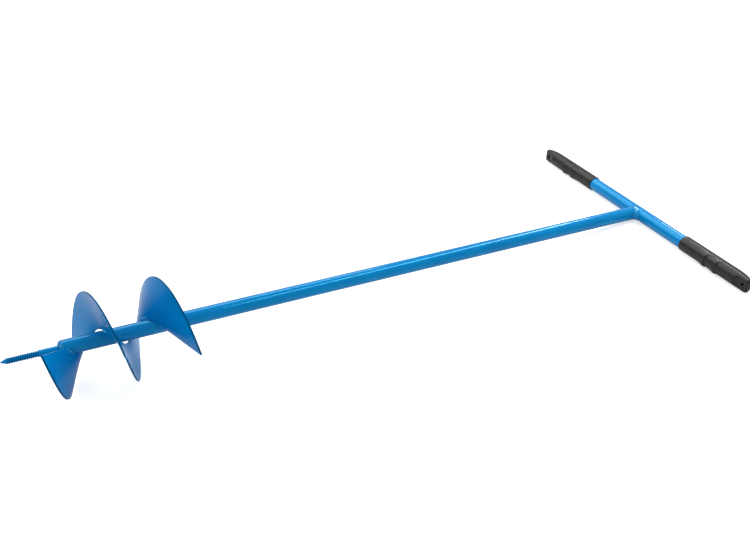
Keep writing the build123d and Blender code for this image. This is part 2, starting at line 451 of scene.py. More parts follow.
class Effects:
    """Node groups for effects on a surface. Each is built once and shared."""

    @staticmethod
    def _start(name: str, inputs: dict[str, float], outputs: list[str]) -> tuple:
        """Open a new group.

        Args:
            name: The group's name.
            inputs: Its number inputs and their defaults.
            outputs: Its number outputs.

        Returns:
            The group, its wiring, its input node and its output node.
        """
        group = bpy.data.node_groups.new(name, "ShaderNodeTree")
        for label, value in inputs.items():
            socket = group.interface.new_socket(label, in_out="INPUT", socket_type="NodeSocketFloat")
            socket.default_value = value
        for label in outputs:
            group.interface.new_socket(label, in_out="OUTPUT", socket_type="NodeSocketFloat")
        wiring = Wiring(group)
        return group, wiring, wiring.add("NodeGroupInput"), wiring.add("NodeGroupOutput")

    @staticmethod
    def mottle() -> bpy.types.NodeTree:
        """Slow, cloudy variation and fine variation of a film, both from 0 to 1.

        Returns:
            The group.
        """
        if "mottle" in bpy.data.node_groups:
            return bpy.data.node_groups["mottle"]
        inputs = {"Cloud Scale": 12.0, "Fine Scale": 180.0}
        group, wiring, start, end = Effects._start("mottle", inputs, ["Cloud", "Fine"])
        where = wiring.add("ShaderNodeTexCoord").outputs["Object"]
        fog_span = (0.3, 0.7)
        for label, scale, detail in (("Cloud", "Cloud Scale", 3.0), ("Fine", "Fine Scale", 4.0)):
            given = {"Vector": where, "Scale": start.outputs[scale], "Detail": detail}
            fog = wiring.add("ShaderNodeTexNoise", given).outputs["Fac"]
            group.links.new(wiring.remap(fog, *fog_span, 0.0, 1.0), end.inputs[label])
        return group

    @staticmethod
    def peel() -> bpy.types.NodeTree:
        """Height of sprayed paint: orange peel, with a few nibs of dust under the film.

        Returns:
            The group.
        """
        if "peel" in bpy.data.node_groups:
            return bpy.data.node_groups["peel"]
        inputs = {"Peel Scale": 420.0, "Nib Scale": 140.0, "Nibs": 1.0}
        group, wiring, start, end = Effects._start("peel", inputs, ["Height"])
        where = wiring.add("ShaderNodeTexCoord").outputs["Object"]
        given = {"Vector": where, "Scale": start.outputs["Peel Scale"], "Detail": 2.0}
        skin = wiring.add("ShaderNodeTexNoise", given).outputs["Fac"]
        given = {"Vector": where, "Scale": start.outputs["Nib Scale"], "Randomness": 1.0}
        cells = wiring.add("ShaderNodeTexVoronoi", given)
        nib_size, rarity = 0.13, 0.86
        dome = wiring.remap(cells.outputs["Distance"], 0.0, nib_size, 1.0, 0.0)
        tint = wiring.add("ShaderNodeSeparateColor", {"Color": cells.outputs["Color"]})
        rare = wiring.math("GREATER_THAN", tint.outputs["Red"], rarity)
        nibs = wiring.math("MULTIPLY", wiring.math("MULTIPLY", dome, rare), start.outputs["Nibs"])
        group.links.new(wiring.math("ADD", skin, nibs), end.inputs["Height"])
        return group

    @staticmethod
    def edges() -> bpy.types.NodeTree:
        """Where the surface turns a corner: 0 on the flat and 1 on an edge.

        Returns:
            The group.
        """
        if "edges" in bpy.data.node_groups:
            return bpy.data.node_groups["edges"]
        inputs = {"Radius": 0.0012, "Sharpness": 4.0}
        group, wiring, start, end = Effects._start("edges", inputs, ["Edge"])
        rounded = wiring.add("ShaderNodeBevel", {"Radius": start.outputs["Radius"]}, samples=4)
        flat = wiring.add("ShaderNodeNewGeometry").outputs["Normal"]
        away = wiring.math("SUBTRACT", 1.0, wiring.dot(rounded.outputs["Normal"], flat))
        strong = wiring.math("MULTIPLY", away, start.outputs["Sharpness"])
        faint, full = 0.35, 1.2
        group.links.new(wiring.remap(strong, faint, full, 0.0, 1.0), end.inputs["Edge"])
        return group


# ---- finishes -----------------------------------------------------------------------
@dataclass(frozen=True)
class Finish:
    """A finish that makes its material once."""

    name: str

    def material(self) -> bpy.types.Material:
        """The finish's material, built the first time it is asked for.

        Returns:
            The material.
        """
        if self.name in bpy.data.materials:
            return bpy.data.materials[self.name]
        made = bpy.data.materials.new(self.name)
        made.use_nodes = True
        made.node_tree.nodes.clear()
        wiring = Wiring(made.node_tree)
        shader = wiring.add("ShaderNodeBsdfPrincipled")
        end = wiring.add("ShaderNodeOutputMaterial")
        made.node_tree.links.new(shader.outputs["BSDF"], end.inputs["Surface"])
        self.wire(wiring, shader)
        return made

    def wire(self, wiring: Wiring, shader: bpy.types.Node) -> None:
        """Wire the shader. Each finish has its own way."""
        raise NotImplementedError


@dataclass(frozen=True)
class GlossPaint(Finish):
    """Bright gloss enamel sprayed over steel."""

    colour: Colour = (0.0, 0.200, 0.490)
    deep: Colour = (0.0, 0.160, 0.415)
    # dark colour for worn edges, and for painted shade in corners, along blade rims and in thread
    # grooves
    rim: Colour = (0.0, 0.030, 0.085)
    sheen: Colour = (0.06, 0.56, 1.0)
    peel_depth: float = 0.003 * MM
    peel_share: float = 0.6
    nibs: float = 0.30
    gloss: tuple[float, float] = (0.20, 0.32)
    edge_radius: float = 0.0009
    edge_wear_and_shade: float = 0.90
    coat: float = 0.05
    coat_roughness: float = 0.14
    reflection: float = 0.35

    def shadowed(self, wiring: Wiring, colour: bpy.types.NodeSocket) -> bpy.types.NodeSocket:
        """The colour with painted shade in hollows or along rims of the form; plain forms have none.
        """
        return colour

    def wire(self, wiring: Wiring, shader: bpy.types.Node) -> None:
        """Cloudy colour, edges darkened by wear and painted shade, painted shade in concave corners,
        orange peel and a clear gloss.

        Args:
            wiring: The material's wiring.
            shader: The shader to feed.
        """
        film = wiring.effect(Effects.mottle(), {"Cloud Scale": 14.0, "Fine Scale": 240.0})
        edge = wiring.effect(Effects.edges(), {"Radius": self.edge_radius, "Sharpness": 7.0})
        base = wiring.blend(film.outputs["Cloud"], (*self.colour, 1), (*self.deep, 1))
        # edges darkened partly as wear and partly as painted shade; concave corners get painted
        # shade
        worn_and_shaded = wiring.math("MULTIPLY", edge.outputs["Edge"], self.edge_wear_and_shade)
        tinted = self.shadowed(wiring, wiring.blend(worn_and_shaded, base, (*self.rim, 1)))
        dull = wiring.remap(film.outputs["Fine"], 0.0, 1.0, *self.gloss)
        skin = {"Peel Scale": 420.0, "Nib Scale": 150.0, "Nibs": self.nibs}
        peel = wiring.effect(Effects.peel(), skin)
        bump = wiring.bump(peel.outputs["Height"], self.peel_depth, self.peel_share)
        wiring.feed(shader, {"Base Color": tinted, "Roughness": dull, "Normal": bump})
        shader.inputs["Specular IOR Level"].default_value = self.reflection
        shader.inputs["Specular Tint"].default_value = (*self.sheen, 1)
        shader.inputs["Coat Weight"].default_value = self.coat
        shader.inputs["Coat Roughness"].default_value = self.coat_roughness


def spans_from_point(wiring: Wiring, tool: ToolFrame) -> list[bpy.types.NodeSocket]:
    """How far the shaded spot lies from the tool's point along each of its axes.

    Args:
        wiring: The material's wiring.
        tool: The tool's frame.

    Returns:
        The distances up the shaft, to the left grip and square to both.
    """
    where = wiring.add("ShaderNodeTexCoord").outputs["Object"]
    given = {0: where, 1: tool.origin}
    reach = wiring.add("ShaderNodeVectorMath", given, operation="SUBTRACT").outputs["Vector"]
    return [wiring.dot(reach, axis) for axis in (tool.up, tool.left, tool.square)]


@dataclass(frozen=True)
class BladePaint(GlossPaint):
    """The same enamel on a blade, with painted shade along the sheared rim."""

    tool: ToolFrame | None = None
    radius: float = 0.0
    rim_width: float = 0.8 * MM
    rim_full: float = 0.3 * MM
    painted_shade_depth: float = 0.72

    def shadowed(self, wiring: Wiring, colour: bpy.types.NodeSocket) -> bpy.types.NodeSocket:
        """Darken the colour on the rim with painted shade.

        Args:
            wiring: The material's wiring.
            colour: The colour on the faces.

        Returns:
            The colour with painted shade on its rim.
        """
        _, aside, high = spans_from_point(wiring, self.tool)
        square = wiring.math("ADD", wiring.math("POWER", aside, 2), wiring.math("POWER", high, 2))
        out = wiring.math("SQRT", square)
        start = self.radius - self.rim_width
        # painted shade: darker towards the rim
        share = wiring.remap(out, start, self.radius - self.rim_full, 0.0, self.painted_shade_depth)
        return wiring.blend(share, colour, (*self.rim, 1))


@dataclass(frozen=True)
class ThreadPaint(GlossPaint):
    """The same enamel on a screw thread, with painted shade in the grooves."""

    tool: ToolFrame | None = None
    pitch: float = 0.0
    reach: tuple[float, float] = (0.0, 0.0)
    groove_span: tuple[float, float] = (-0.2, 0.9)
    painted_shade_depth: float = 0.48

    def shadowed(self, wiring: Wiring, colour: bpy.types.NodeSocket) -> bpy.types.NodeSocket:
        """Darken the colour with painted shade along the helix of the groove, between both ends of
        the thread.

        Args:
            wiring: The material's wiring.
            colour: The colour on the crests.

        Returns:
            The colour with painted shade in its grooves.
        """
        spans = spans_from_point(wiring, self.tool)
        turn = wiring.math("ARCTAN2", spans[2], spans[1])
        turns_up = wiring.math("DIVIDE", spans[0], self.pitch)
        phase = wiring.math("SUBTRACT", turns_up, wiring.math("DIVIDE", turn, 2 * pi))
        wave = wiring.math("COSINE", wiring.math("MULTIPLY", phase, 2 * pi))
        # painted shade: darker in the grooves of the thread
        deep = wiring.remap(wave, *self.groove_span, 0.0, self.painted_shade_depth)
        start, end = self.reach
        begun = wiring.remap(spans[0], start - self.pitch, start, 0.0, 1.0)
        over = wiring.remap(spans[0], end - self.pitch, end, 1.0, 0.0)
        share = wiring.math("MULTIPLY", deep, wiring.math("MULTIPLY", begun, over))
        return wiring.blend(share, colour, (*self.rim, 1))


@dataclass(frozen=True)
class SoftVinyl(Finish):
    """Black moulded vinyl with a fine grain."""

    colour: Colour = (0.008, 0.008, 0.0075)
    # paler colour for scuffs and for the painted highlight along edges
    scuff_and_edge_highlight: Colour = (0.026, 0.026, 0.025)
    gloss: tuple[float, float] = (0.30, 0.40)
    reflection: float = 0.28
    cloudiness: float = 0.45
    grain: float = 0.05 * MM
    grain_share: float = 0.5

    def wire(self, wiring: Wiring, shader: bpy.types.Node) -> None:
        """Fine grain, cloudy sheen, paler scuffed patches and a painted highlight along the edges.

        Args:
            wiring: The material's wiring.
            shader: The shader to feed.
        """
        film = wiring.effect(Effects.mottle(), {"Cloud Scale": 55.0, "Fine Scale": 900.0})
        edge = wiring.effect(Effects.edges(), {"Radius": 0.0010, "Sharpness": 3.0})
        cloud = wiring.math("MULTIPLY", film.outputs["Cloud"], self.cloudiness)
        # scuffed patches from cloud noise, painted highlight from the edge mask
        scuff_and_edge_highlight = wiring.math("MAXIMUM", cloud, edge.outputs["Edge"])
        tinted = wiring.blend(scuff_and_edge_highlight, (*self.colour, 1), (*self.scuff_and_edge_highlight, 1))
        dull = wiring.remap(film.outputs["Cloud"], 0.0, 1.0, *self.gloss)
        bump = wiring.bump(film.outputs["Fine"], self.grain, self.grain_share)
        wiring.feed(shader, {"Base Color": tinted, "Roughness": dull, "Normal": bump})
        shader.inputs["Specular IOR Level"].default_value = self.reflection


@dataclass(frozen=True)
class TurnedSteel(Finish):
    """Bare turned steel with a trace of oil."""

    colour: Colour = (0.42, 0.42, 0.43)
    shade: float = 0.7
    gloss: tuple[float, float] = (0.28, 0.45)

    def wire(self, wiring: Wiring, shader: bpy.types.Node) -> None:
        """Metal whose brightness and gloss vary a little.

        Args:
            wiring: The material's wiring.
            shader: The shader to feed.
        """
        film = wiring.effect(Effects.mottle(), {"Cloud Scale": 60.0, "Fine Scale": 1400.0})
        dark = tuple(self.shade * part for part in self.colour)
        tinted = wiring.blend(film.outputs["Fine"], (*dark, 1), (*self.colour, 1))
        dull = wiring.remap(film.outputs["Cloud"], 0.0, 1.0, *self.gloss)
        wiring.feed(shader, {"Base Color": tinted, "Roughness": dull})
        shader.inputs["Metallic"].default_value = 1.0


@dataclass(frozen=True)
class PaleSweep(Finish):
    """The matt, nearly white floor of a studio."""

    colour: Colour = (0.72, 0.72, 0.72)
    shade: float = 0.985
    roughness: float = 0.9
    glow: float = 0.62

    def wire(self, wiring: Wiring, shader: bpy.types.Node) -> None:
        """A flat pale colour that varies by a hair.

        Args:
            wiring: The material's wiring.
            shader: The shader to feed.
        """
        film = wiring.effect(Effects.mottle(), {"Cloud Scale": 2.0, "Fine Scale": 40.0})
        shade = tuple(self.shade * part for part in self.colour)
        tinted = wiring.blend(film.outputs["Cloud"], (*self.colour, 1), (*shade, 1))
        seen = wiring.add("ShaderNodeLightPath").outputs["Is Camera Ray"]
        lit = wiring.math("MULTIPLY", seen, self.glow)
        wiring.feed(shader, {"Base Color": tinted, "Emission Strength": lit})
        shader.inputs["Roughness"].default_value = self.roughness
        shader.inputs["Emission Color"].default_value = (1.0, 1.0, 1.0, 1.0)


TUBE_PAINT = GlossPaint(
    "tube_paint", sheen=(0.12, 0.70, 1.0), gloss=(0.07, 0.12), coat=0.02, reflection=0.6
)
WELD_PAINT = GlossPaint(
    "weld_paint", sheen=(0.20, 0.70, 1.0), gloss=(0.12, 0.20), edge_radius=0.0006, coat=0.30
)
VINYL = SoftVinyl("grip_vinyl")
STEEL = TurnedSteel("turned_steel")
SWEEP = PaleSweep("pale_sweep")


# ---- shaft and crossbar ---------------------------------------------------------------
@dataclass
class Tubes:
    """The two tubes of the T."""

    tool: ToolFrame
    wall: float = 2.0 * MM
    sides: int = 72
    shaft_rings: int = 130
    bar_rings: int = 70
    unevenness: float = 0.035 * MM
    waves_per_metre: tuple[float, float] = (9.0, 31.0)

    def __post_init__(self) -> None:
        """Measure both tubes."""
        self.shaft = self.tool.extent("shaft_tube")
        self.bar = self.tool.extent("crossbar_tube")
        self.radius = self.bar.half.x
        self.bore = self.radius - self.wall

    def cope(self, radius: float, turn: float) -> float:
        """How far up the shaft a line of its wall meets the crossbar."""
        aside = radius * sin(radians(turn))
        return self.bar.centre.x - sqrt(max(0.0, self.radius**2 - aside**2))

    def drawn(self, point: Vector, radius: float) -> float:
        """The radius of a drawn tube, never quite even."""
        slow, quick = self.waves_per_metre
        return radius + self.unevenness * (wobble(point, slow) + 0.5 * wobble(point, quick))

    def make_shaft(self) -> bpy.types.Object:
        """The shaft, coped at its top to sit round the crossbar.

        Returns:
            The piece.
        """
        skin = Skin()
        turns = turns_round(self.sides)
        start = self.shaft.low.x
        rings = []
        for step in range(self.shaft_rings + 1):
            share = step / self.shaft_rings
            ring = []
            for turn in turns:
                x = start + share * (self.cope(self.radius, turn) - start)
                rough = self.tool.round_shaft(x, turn, self.radius)
                ring.append(self.tool.round_shaft(x, turn, self.drawn(rough, self.radius)))
            rings.append(ring)
        for share in (1.0, 0.0):
            ring = []
            for turn in turns:
                x = start + share * (self.cope(self.bore, turn) - start)
                ring.append(self.tool.round_shaft(x, turn, self.bore))
            rings.append(ring)
        skin.loop(rings)
        return skin.build("shaft_tube_painted")

    def make_bar(self) -> bpy.types.Object:
        """The crossbar, whose open ends stop inside the grips.

        Returns:
            The piece.
        """
        skin = Skin()
        turns = [radians(turn) for turn in turns_round(self.sides)]
        centre, low, high = self.bar.centre.x, self.bar.low.y, self.bar.high.y
        rings = []
        for step in range(self.bar_rings + 1):
            y = low + (high - low) * step / self.bar_rings
            ring = []
            for angle in turns:
                rough = self.tool.at(centre, y, 0)
                around = self.tool.turn((cos(angle), 0, sin(angle)))
                radius = self.drawn(rough + around * self.radius, self.radius)
                ring.append(rough + around * radius)
            rings.append(ring)
        for y in (high, low):
            middle = self.tool.at(centre, y, 0)
            rings.append([middle + self.tool.turn((cos(a), 0, sin(a))) * self.bore for a in turns])
        skin.loop(rings)
        return skin.build("crossbar_tube_painted")

    def build(self) -> None:
        """Make and dress both tubes."""
        dress(self.make_shaft(), TUBE_PAINT, Slot.PAINT, "shaft_tube")
        dress(self.make_bar(), TUBE_PAINT, Slot.PAINT, "crossbar_tube")


# ---- the weld round the handle joint ------------------------------------------------------
@dataclass
class HandleWeld:
    """One bead all round the joint of shaft and crossbar, laid by hand."""

    tubes: Tubes
    left_leg: float = 4.6 * MM
    right_leg: float = 8.5 * MM
    leg_change: tuple[float, float] = (-0.4, 0.9)
    saddle: float = 0.22
    crown: float = 0.30 * MM
    ripple: float = 0.12 * MM
    ripples: int = 34
    ripple_rest: float = 0.35
    unevenness: float = 0.06
    waves_round: float = 2.3
    fullness: float = 0.07
    root_share: float = 0.35
    steps: int = 204
    across: int = 9
    sunk: float = 1.2 * MM

    def section(self, angle: float) -> list[Vector]:
        """The bead's outline at an angle round the shaft.

        Args:
            angle: The angle in radians, from the left grip's side towards the top.

        Returns:
            Points from the shaft over the bead to the crossbar, then a root inside the metal.
        """
        tool, radius = self.tubes.tool, self.tubes.radius
        centre = self.tubes.bar.centre.x
        aside, high = cos(angle), sin(angle)
        flank = sqrt((aside * aside + self.saddle**2) / (1 + self.saddle**2))
        side = aside / sqrt(aside * aside + self.saddle**2)
        leg = self.left_leg + (self.right_leg - self.left_leg) * ease(-aside, *self.leg_change)
        leg *= 1 + self.unevenness * wobble(Vector((aside, high, 0)), self.waves_round)
        root_x = centre - radius * flank
        beat = 0.5 + 0.5 * cos(self.ripples * angle)
        on_shaft = Vector((root_x - leg, radius * aside, radius * high))
        bar_high = sqrt(max(0.0, radius**2 - (root_x - centre) ** 2))
        on_bar = Vector((root_x, radius * aside + leg * side, bar_high if high > 0 else -bar_high))
        corner = Vector((root_x, radius * aside, radius * high))
        out = (Vector((0, aside, high)) + Vector((-flank, 0, high))).normalized()
        flat = 1 - abs(aside)
        rest = self.ripple_rest
        lift = self.crown * (rest + (1 - rest) * flat) + self.ripple * beat
        pull = corner + out * (leg * self.fullness * abs(side) + 2 * lift * flat + lift * (1 - flat))
        points = []
        for i in range(self.across):
            t = i / (self.across - 1)
            bent = on_shaft * (1 - t) ** 2 + pull * 2 * t * (1 - t) + on_bar * t * t
            points.append(tool.at(*bent))
        inside = corner - out * self.sunk
        roots = []
        for toe in (on_bar, on_shaft):
            root = toe + (inside - toe) * self.root_share - out * self.sunk * 0.5
            roots.append(tool.at(*root))
        return [*points, roots[0], tool.at(*inside), roots[1]]

    def build(self) -> None:
        """Make and dress the bead."""
        skin = Skin()
        rings = [self.section(2 * pi * i / self.steps) for i in range(self.steps)]
        skin.loop(rings)
        dress(skin.build("handle_weld_bead", 60), WELD_PAINT, Slot.PAINT, "handle_weld")


# ---- pilot screw ---------------------------------------------------------------------------
@dataclass
class PilotScrew:
    """A pointed bar with a rolled thread, and the weld that closes the shaft round it."""

    tool: ToolFrame
    pitch: float = 2.8 * MM
    threads: float = 14.2
    cone: float = 10.4 * MM
    depth: float = 1.35 * MM
    tip: float = 0.35 * MM
    sides: int = 48
    rings_per_pitch: int = 12
    run_out: float = 3.0 * MM
    thread_fade: float = 2.2 * MM
    thread_from: float = 0.80
    crest_flat: float = 0.15
    flank: float = 0.75
    weld_sides: int = 120
    weld_across: int = 12
    lumps: int = 9
    lump_share: float = 0.10
    lean_from: float = 40.0
    swell: float = 0.5 * MM
    swell_from: float = 60.0
    swell_nearness: int = 4
    foot: float = 1.5 * MM
    foot_edges: tuple[float, float] = (0.2 * MM, 1.0 * MM)
    bite: float = 0.4 * MM

    def radius_at(self, x: float, turn: float, crest: float) -> float:
        """The bar's radius at a place on its helical thread.

        Args:
            x: Distance from the point.
            turn: Angle round the bar in degrees.
            crest: The thread's outer radius.

        Returns:
            The radius there.
        """
        start = self.cone * self.thread_from
        end = self.cone + self.threads * self.pitch
        phase = (x / self.pitch - turn / 360) % 1.0
        from_crest = abs(phase - 0.5) * 2
        groove = min(1.0, max(0.0, (from_crest - self.crest_flat) / self.flank))
        fade = ease(x, start, start + self.thread_fade) * (1 - ease(x, end - self.thread_fade, end))
        body = crest
        if x < self.cone:
            share = x / self.cone
            body = self.tip + (crest - self.tip) * share
        return body - self.depth * groove * fade * min(1.0, body / crest)

    def make_bar(self) -> bpy.types.Object:
        """The screw itself, from its point to its end inside the shaft.

        Returns:
            The piece.
        """
        box = self.tool.extent("pilot_screw")
        crest = box.half.y
        skin = Skin()
        step = self.pitch / self.rings_per_pitch
        last_thread = self.cone + self.threads * self.pitch
        stations = [step * i for i in range(int(last_thread / step) + 2)]
        stations += [stations[-1] + self.run_out, box.high.x]
        turns = turns_round(self.sides)
        rings = []
        for x in stations:
            rings.append([self.tool.round_shaft(x, t, self.radius_at(x, t, crest)) for t in turns])
        skin.rod(rings)
        return skin.build("pilot_screw_threaded", 30)

    def make_weld(self) -> bpy.types.Object:
        """The domed, rippled bead between the screw and the mouth of the shaft.

        Returns:
            The piece.
        """
        dome = self.tool.extent("nose_weld")
        inner = self.tool.extent("pilot_screw").half.y
        outer = self.tool.extent("shaft_tube").half.y
        mouth, height = dome.high.x, dome.half.x * 2
        skin = Skin()
        sides, share = self.weld_sides, self.lump_share
        rings = []
        for i in range(self.weld_across + 1):
            angle = pi / 2 * i / self.weld_across
            ring = []
            for j in range(sides):
                turn = 360 * j / sides
                lump = 1 + share * sin(radians(self.lumps * turn))
                lump += share * sin(radians(2 * turn + self.lean_from))
                x = mouth - height * lump * cos(angle)
                wave = 0.5 + 0.5 * sin(radians(self.lumps * turn + self.swell_from))
                swollen = self.swell * wave * sin(angle) ** self.swell_nearness
                radius = inner + (outer - inner) * sin(angle) + swollen
                ring.append(self.tool.round_shaft(x, turn, radius))
            rings.append(ring)
        proud, shy = self.foot_edges
        for radius in (outer + proud, outer - shy, inner - self.bite):
            x = mouth + self.foot
            rings.append([self.tool.round_shaft(x, 360 * j / sides, radius) for j in range(sides)])
        skin.loop(rings)
        return skin.build("nose_weld_bead", 60)

    def build(self) -> None:
        """Make and dress the screw, its weld and the hidden plug."""
        reach = (self.cone, self.cone + self.threads * self.pitch)
        paint = ThreadPaint("thread_paint", tool=self.tool, pitch=self.pitch, reach=reach)
        dress(self.make_bar(), paint, Slot.PAINT, "pilot_screw")
        dress(self.make_weld(), WELD_PAINT, Slot.PAINT, "nose_weld")
        plug = frame["nodes"]["nose_plug"]
        plug.data.materials.clear()
        plug.data.materials.append(STEEL.material())


# ---- flight --------------------------------------------------------------------------------
@dataclass
class Flight:
    """Two split rings pulled open, and the beads that hold them."""

    tool: ToolFrame
    sweep: float = 384.0
    rim_pitch: float = 94.1 * MM
    hole_pitch: float = 64.1 * MM
    plate: float = 2.4 * MM
    gap: float = 3.0 * MM
    stations: int = 192
    across: int = 14
    bowing: float = 0.35 * MM
    bows_per_metre: float = 16.0
    bow_full_at: float = 0.35
    seam_width: float = 6.5 * MM
    seam_crown: float = 0.9 * MM
    seam_lanes: int = 12
    seam_steps: int = 64
    seam_ripple: int = 4
    seam_rest: float = 0.75
    seam_squareness: int = 12
    seam_sunk: float = 0.1 * MM
    edge_round: float = 0.55 * MM

    def __post_init__(self) -> None:
        """Measure the flight, its seam and the shaft."""
        seam = self.tool.extent("seam_weld").centre
        self.radius = self.tool.extent("lower_flight").half.y
        self.tube = self.tool.extent("shaft_tube").half.y
        self.middle = seam.x
        self.seam_turn = degrees(atan2(seam.z, seam.y))

    def hole_radius(self, turn: float) -> float:
        """The hole is loose on the shaft at the seam and closes on it at both ends."""
        away = (turn - self.seam_turn) / self.sweep
        return self.tube + self.gap * cos(away * pi / 2) ** 2

    def along(self, turn: float, share: float) -> float:
        """How far up the shaft the plate's middle is, share of the way from hole to rim."""
        turned = (turn - self.seam_turn) / 360
        return self.middle + turned * (self.hole_pitch + share * (self.rim_pitch - self.hole_pitch))

    def half_width(self, turn: float, share: float) -> float:
        """Half of the plate's thickness, measured along the shaft.

        Args:
            turn: The turn.
            share: Share of the way from hole to rim.

        Returns:
            The half thickness.
        """
        hole = self.hole_radius(turn)
        lean = (self.along(turn, 1) - self.along(turn, 0)) / (self.radius - hole)
        reach = hole + share * (self.radius - hole)
        pitch = self.hole_pitch + share * (self.rim_pitch - self.hole_pitch)
        return self.plate / 2 * sqrt(1 + (pitch / (2 * pi * reach)) ** 2 + lean**2)

    def point(self, turn: float, share: float, side: float) -> Vector:
        """A point of the plate.

        Args:
            turn: The turn.
            share: Share of the way from hole to rim.
            side: -1 on the face to the point, 1 on the face to the handle.

        Returns:
            The point in the world.
        """
        hole = self.hole_radius(turn)
        reach = hole + share * (self.radius - hole)
        rough = self.tool.round_shaft(self.along(turn, share), turn, reach)
        bow = self.bowing * wobble(rough, self.bows_per_metre) * ease(share, 0.0, self.bow_full_at)
        x = self.along(turn, share) + side * self.half_width(turn, share) + bow
        return self.tool.round_shaft(x, turn, reach)

    def make_blade(self, name: str, first: float) -> bpy.types.Object:
        """One blade.

        Args:
            name: The piece's name.
            first: The turn at which it starts.

        Returns:
            The blade, with its sheared edges a little rounded.
        """
        skin = Skin()
        rings = []
        for step in range(self.stations + 1):
            turn = first + self.sweep * step / self.stations
            shares = [i / self.across for i in range(self.across + 1)]
            lower = [self.point(turn, share, -1) for share in shares]
            upper = [self.point(turn, share, 1) for share in reversed(shares)]
            rings.append(lower + upper)
        skin.slab(rings)
        blade = skin.build(name)
        soften(blade, self.edge_round)
        settle(blade)
        return blade

    def make_seam(self) -> bpy.types.Object:
        """The bead that joins the two blades edge to edge, proud on both faces.

        Returns:
            The piece.
        """
        skin = Skin()
        lanes, steps = self.seam_lanes, self.seam_steps
        rings = []
        for step in range(steps + 1):
            share = step / steps
            hole = self.hole_radius(self.seam_turn)
            reach = hole + share * (self.radius - hole)
            beat = 0.5 + 0.5 * cos(2 * pi * step / self.seam_ripple)
            end = sqrt(max(0.0, 1 - abs(2 * share - 1) ** self.seam_squareness))
            height = self.seam_crown * (self.seam_rest + (1 - self.seam_rest) * beat) * end
            ring = []
            for side in (-1, 1):
                for lane in range(lanes + 1):
                    aside = (2 * lane / lanes - 1) * -side
                    turn = self.seam_turn + degrees(aside * self.seam_width / 2 / reach)
                    crown = height * (1 - aside**2)
                    swell = 1 + 2 * (crown - self.seam_sunk) / self.plate
                    ring.append(self.point(turn, share, side * swell))
            rings.append(ring)
        skin.slab(rings)
        return skin.build("seam_weld_bead", 60)

    def build(self) -> None:
        """Make and dress the blades and their seam."""
        lower = self.make_blade("lower_flight_blade", self.seam_turn - self.sweep)
        upper = self.make_blade("upper_flight_blade", self.seam_turn)
        paint = BladePaint(
            "blade_paint",
            colour=(0.0, 0.205, 0.530),
            deep=(0.0, 0.160, 0.440),
            gloss=(0.20, 0.28),
            nibs=0.1,
            coat=0.02,
            reflection=0.20,
            peel_depth=0.0012 * MM,
            tool=self.tool,
            radius=self.radius,
        )
        dress(lower, paint, Slot.PAINT, "lower_flight")
        dress(upper, paint, Slot.PAINT, "upper_flight")
        dress(self.make_seam(), WELD_PAINT, Slot.PAINT, "seam_weld")


@dataclass
class FilletBead:
    """A rippled bead in the corner of a blade and the shaft."""

    flight: Flight
    node: str
    first: float
    last: float
    face: Face
    leg: float = 4.4 * MM
    end_share: float = 0.25
    crown: float = 0.16
    ripple: float = 0.09
    ripple_length: float = 2.3 * MM
    across: int = 8
    steps: int = 40
    sunk: float = 0.9 * MM

    def section(self, turn: float, share: float) -> list[Vector]:
        """The bead's outline at a turn.

        Args:
            turn: The turn.
            share: Share of the way along the bead.

        Returns:
            Points from the blade over the bead to the shaft, then a root inside the metal.
        """
        flight, tool, way = self.flight, self.flight.tool, self.face.value
        tube, hole = flight.tube, flight.hole_radius(turn)
        arc = radians(abs(self.last - self.first)) * tube * share
        beat = 1 + self.ripple * cos(2 * pi * arc / self.ripple_length)
        fullness = self.end_share + (1 - self.end_share) * sqrt(sin(pi * share))
        leg = self.leg * fullness * beat
        slope = (flight.along(turn, 1) - flight.along(turn, 0)) / (flight.radius - hole)
        start = flight.along(turn, 0) + way * flight.half_width(turn, 0) + slope * (tube - hole)
        on_blade = (start + slope * leg, tube + leg)
        on_shaft = (start + way * leg, tube)
        points = []
        for i in range(self.across):
            t = i / (self.across - 1)
            bulge = self.crown * leg * sin(pi * t)
            x = on_blade[0] + (on_shaft[0] - on_blade[0]) * t + way * bulge
            out = on_blade[1] + (on_shaft[1] - on_blade[1]) * t + bulge
            points.append(tool.round_shaft(x, turn, out))
        points.append(tool.round_shaft(on_shaft[0] - way * self.sunk, turn, tube - self.sunk))
        points.append(tool.round_shaft(start - way * self.sunk, turn, tube - self.sunk))
        points.append(tool.round_shaft(on_blade[0] - way * self.sunk, turn, on_blade[1] - self.sunk))
        return points

    def build(self) -> None:
        """Make and dress the bead."""
        skin = Skin()
        rings = []
        for step in range(self.steps + 1):
            share = step / self.steps
            rings.append(self.section(self.first + (self.last - self.first) * share, share))
        skin.rod(rings)
        dress(skin.build(self.node + "_bead", 60), WELD_PAINT, Slot.PAINT, self.node)


BEADS = (
    ("leading_weld", -208.0, -160.0, Face.TO_HANDLE),
    ("lower_tack_weld", -50.0, -14.0, Face.TO_HANDLE),
    ("middle_tack_weld", 292.0, 326.0, Face.TO_POINT),
    ("upper_tack_weld", 398.0, 432.0, Face.TO_POINT),
    ("trailing_weld", 506.0, 553.0, Face.TO_POINT),
)


